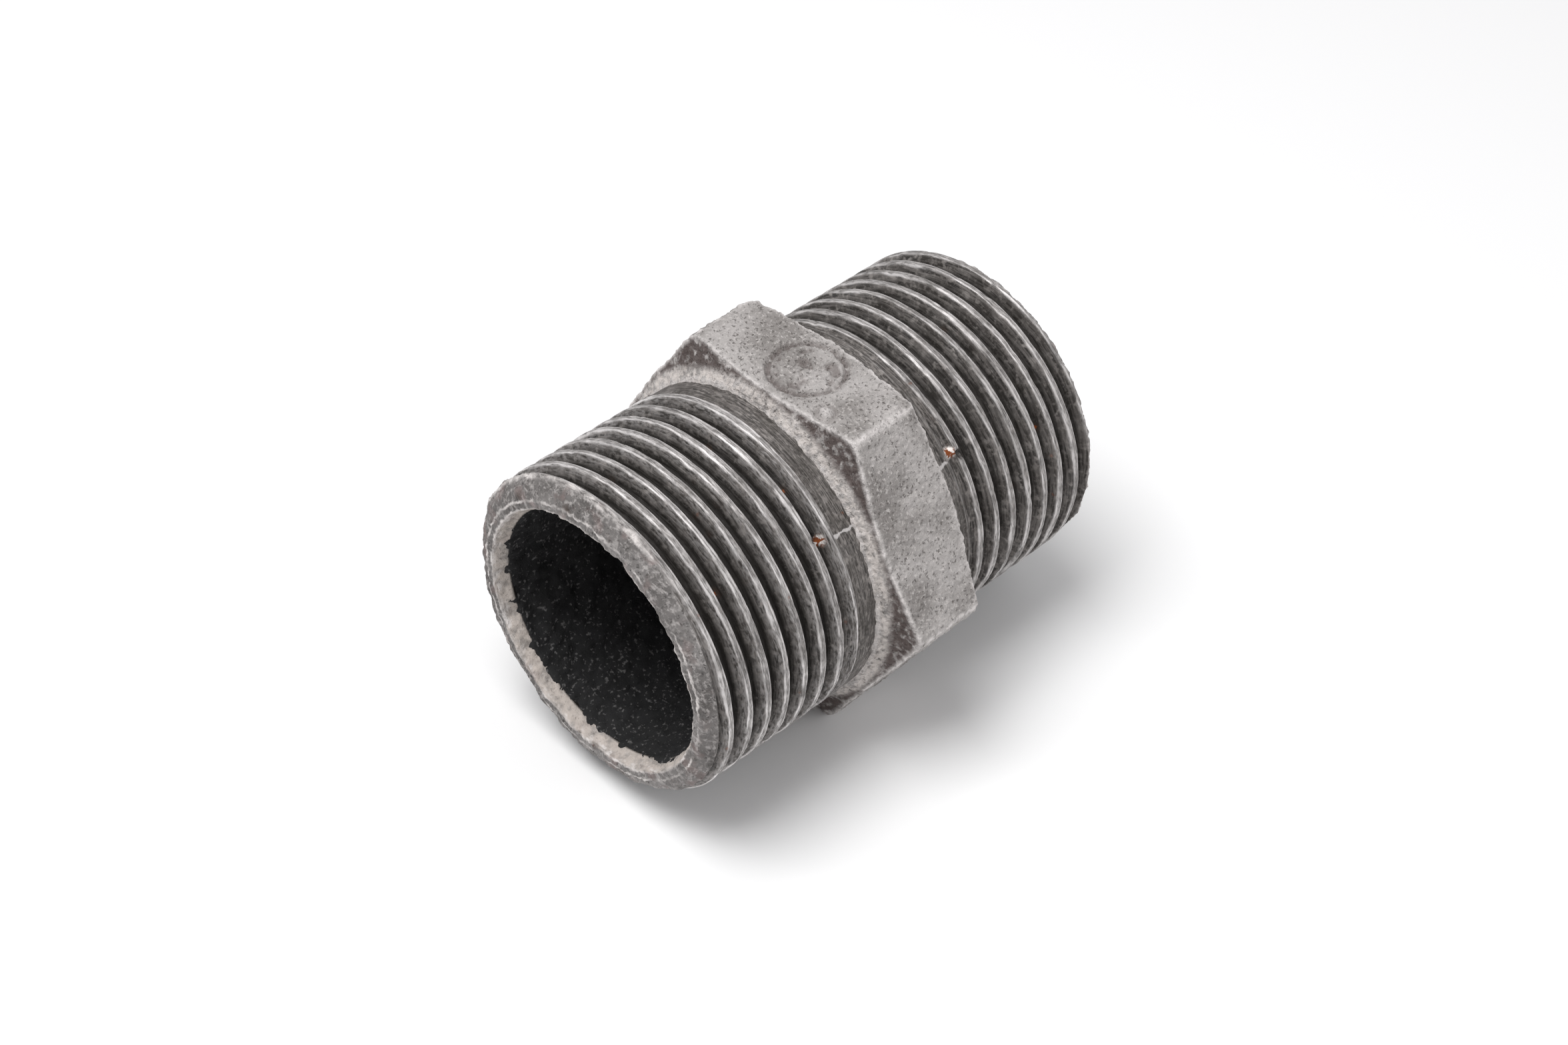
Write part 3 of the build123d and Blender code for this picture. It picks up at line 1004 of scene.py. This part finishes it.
def hexagon_masks(angle, x, radius):
    """Where the skin is cast, at an edge (painted paler: wear and painted highlight), hollow in front of a
    corner (painted dirty brown: dirt and painted shade), or on the parting line.
    """
    rows = np.arange(len(x))[:, None]
    from_rim = np.minimum(rows - 1, len(x) - 4 - rows)
    in_front = from_rim < SHOULDER_ROWS - 1
    from_edge = np.abs(from_rim - SHOULDER_ROWS + 1)
    from_flat = np.mod(angle + math.pi / 6, math.pi / 3) - math.pi / 6
    from_corner = (math.pi / 6 - np.abs(from_flat)) * FLAT_DISTANCE
    on_top = np.abs(x) < HEX_EDGE_AT_FLATS
    from_seam = np.mod(np.degrees(angle) - HEX_SEAM + 90, 180) - 90
    seam = np.exp(-(from_seam / 0.7) ** 2) * in_front
    edge = np.exp(-(from_edge / 2.0) ** 2) + np.exp(-(from_corner / 0.3) ** 2) * on_top + seam
    edge = edge + 0.7 * np.exp(-(from_rim / 1.2) ** 2)
    steep = np.clip((radius - FLAT_DISTANCE + 0.6) / 0.8, 0, 1) * np.clip((from_edge - 0.3) / 1.5, 0, 1)
    cast = np.where(radius > NECK_RADIUS - 0.3, 1.0, 0.0)
    return cast, edge, steep * in_front, seam


# %% The whole hexagon
def hexagon_piece():
    """The hexagon with both shoulders, as one closed skin."""
    angle = np.arange(HEX_COLUMNS) * math.tau / HEX_COLUMNS
    x, radius = hexagon_rows(angle)
    cast, edge, hollow, seam = hexagon_masks(angle, x, radius)
    radius = radius - HOLLOW_DEPTH * hollow + SEAM_HEIGHT * seam
    y, z = -radius * np.sin(angle), radius * np.cos(angle)
    groove, strokes, nub = ring_mark(x, y)
    top_flat = (z > FLAT_DISTANCE - 1.0) * (np.abs(x) < HEX_EDGE_AT_FLATS)
    z = z + (nub * NUB_HEIGHT - strokes * STROKE_DEPTH - groove * RING_DEPTH) * top_flat
    # The nub is painted paler through the edge mask, as painted highlight on the bump.
    edge = np.clip(edge + 0.8 * nub * top_flat, 0, 1)
    # The sunk ring and its strokes join the hollow mask, so they are painted darker, partly as painted
    # shade in the recess.
    hollow = np.maximum(hollow, np.maximum(groove * 0.7, strokes * 0.6) * top_flat)
    masks = {"cast": cast, "edge": edge, "hollow": hollow}
    return as_piece("hexagon_and_shoulders", ring_mesh("hexagon_and_shoulders", x, y, z, masks))


CAST_SKIN = cast_skin_material()
hexagon = hexagon_piece()
apply_tree(hexagon, ROUGHENER, Mask_name="cast", Grain_size=0.6, Grain_height=0.28,
           Lump_size=2.2, Lump_height=0.3, Seed=3.0, Material=CAST_SKIN)
print("hexagon", len(hexagon.data.polygons) * 2, "triangles")

# %% [markdown]
# ## The bore
# A sleeve of lumpy scale, painted near black partly as painted shade. Its two ends flare out
# under the bevel of each mouth, and because both skins are rough, they cross in the torn,
# wandering edge of a real cored hole.

# %% Make the bore wall
BORE_COLUMNS = 400


def bore_piece():
    """The wall of the bore, as a closed sleeve inside the metal."""
    bevel_foot = HALF_LENGTH - BEVEL_LENGTH
    flare = bevel_foot + RIM_DIVE, BORE_RADIUS + RIM_DIVE
    outline = [
        (-flare[0], flare[1], 0.25),
        (-bevel_foot, BORE_RADIUS, 0.42),
        (bevel_foot, BORE_RADIUS, 0.25),
        (flare[0], flare[1], HIDDEN),
        (bevel_foot + 0.5, BORE_RADIUS + 1.2, HIDDEN),
        (-bevel_foot - 0.5, BORE_RADIUS + 1.2, HIDDEN),
    ]
    masks = {"cast": lambda x, radius: radius < BORE_RADIUS + 1.1}
    return turned_piece("bore_wall", outline, BORE_COLUMNS, masks)


BORE_SCALE_AND_SHADE = bore_material()
bore = bore_piece()
apply_tree(bore, ROUGHENER, Mask_name="cast", Grain_size=0.6, Grain_height=0.45,
           Lump_size=1.6, Lump_height=0.85, Seed=4.0, Material=BORE_SCALE_AND_SHADE)
print("bore wall", len(bore.data.polygons) * 2, "triangles")

# %% [markdown]
# ## What rides on what
# The nipple has no joints, so there is one body, and the four regions together stand for the
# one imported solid.

# %% Ride and replace
for region in (left_end, right_end, hexagon, bore):
    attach(region, "root")
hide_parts("hex_nipple")

# %% [markdown]
# ## Stage, light and camera
# A pale floor under the flat that the nipple rests on, one large soft light high and a little
# towards the near mouth, a weak one at the side, and a bright even surround, as in a light tent.

# %% Floor
def floor_piece():
    """A plain pale floor that the bottom flat rests on."""
    size = 1.5
    mesh = bpy.data.meshes.new("floor")
    corners = [(-size, -size), (size, -size), (size, size), (-size, size)]
    mesh.from_pydata([(x, y, LOW[2]) for x, y in corners], [], [(0, 1, 2, 3)])
    piece = bpy.data.objects.new("floor", mesh)
    bpy.context.scene.collection.objects.link(piece)
    material, _, shader = new_material("pale_floor")
    shader.inputs["Base Color"].default_value = (0.94, 0.94, 0.94, 1.0)
    shader.inputs["Roughness"].default_value = 0.9
    mesh.materials.append(material)


floor_piece()


# %% Lights
def soft_light(name, place, power, size):
    """A square area light that faces the nipple."""
    lamp = bpy.data.lights.new(name, "AREA")
    lamp.energy = power
    lamp.size = size
    lamp_object = bpy.data.objects.new(name, lamp)
    lamp_object.location = place
    lamp_object.rotation_euler = Vector(place).to_track_quat("Z", "Y").to_euler()
    bpy.context.scene.collection.objects.link(lamp_object)


soft_light("overhead", (-0.16, 0.06, 0.5), 2.4, 0.3)
soft_light("side_fill", (0.25, -0.5, 0.3), 0.7, 0.4)
world = bpy.data.worlds.new("light_tent")
world.use_nodes = True
world.node_tree.nodes["Background"].inputs["Color"].default_value = (0.99, 0.985, 1.0, 1.0)
world.node_tree.nodes["Background"].inputs["Strength"].default_value = 0.42
bpy.context.scene.world = world
bpy.context.scene.view_settings.view_transform = "Standard"

# %% [markdown]
# The camera looks down at the near mouth from the left, through a slightly long lens, and is
# tilted a few degrees to its side.

# %% Camera
def aim_camera(place, target, roll_degrees, lens):
    """A camera at place that looks at target, rolled about its own view."""
    camera_data = bpy.data.cameras.new("camera")
    camera_data.lens = lens
    camera_data.sensor_width = 36.0
    camera_data.clip_start = 0.01
    camera = bpy.data.objects.new("camera", camera_data)
    view = (Vector(target) - Vector(place)).to_track_quat("-Z", "Y").to_matrix().to_4x4()
    roll = Matrix.Rotation(math.radians(roll_degrees), 4, "Z")
    camera.matrix_world = Matrix.Translation(place) @ view @ roll
    bpy.context.scene.collection.objects.link(camera)
    bpy.context.scene.camera = camera


aim_camera((-0.1298, -0.1182, 0.1645), (-0.00105, 0.0, -0.0008), 3.8, 57.45)
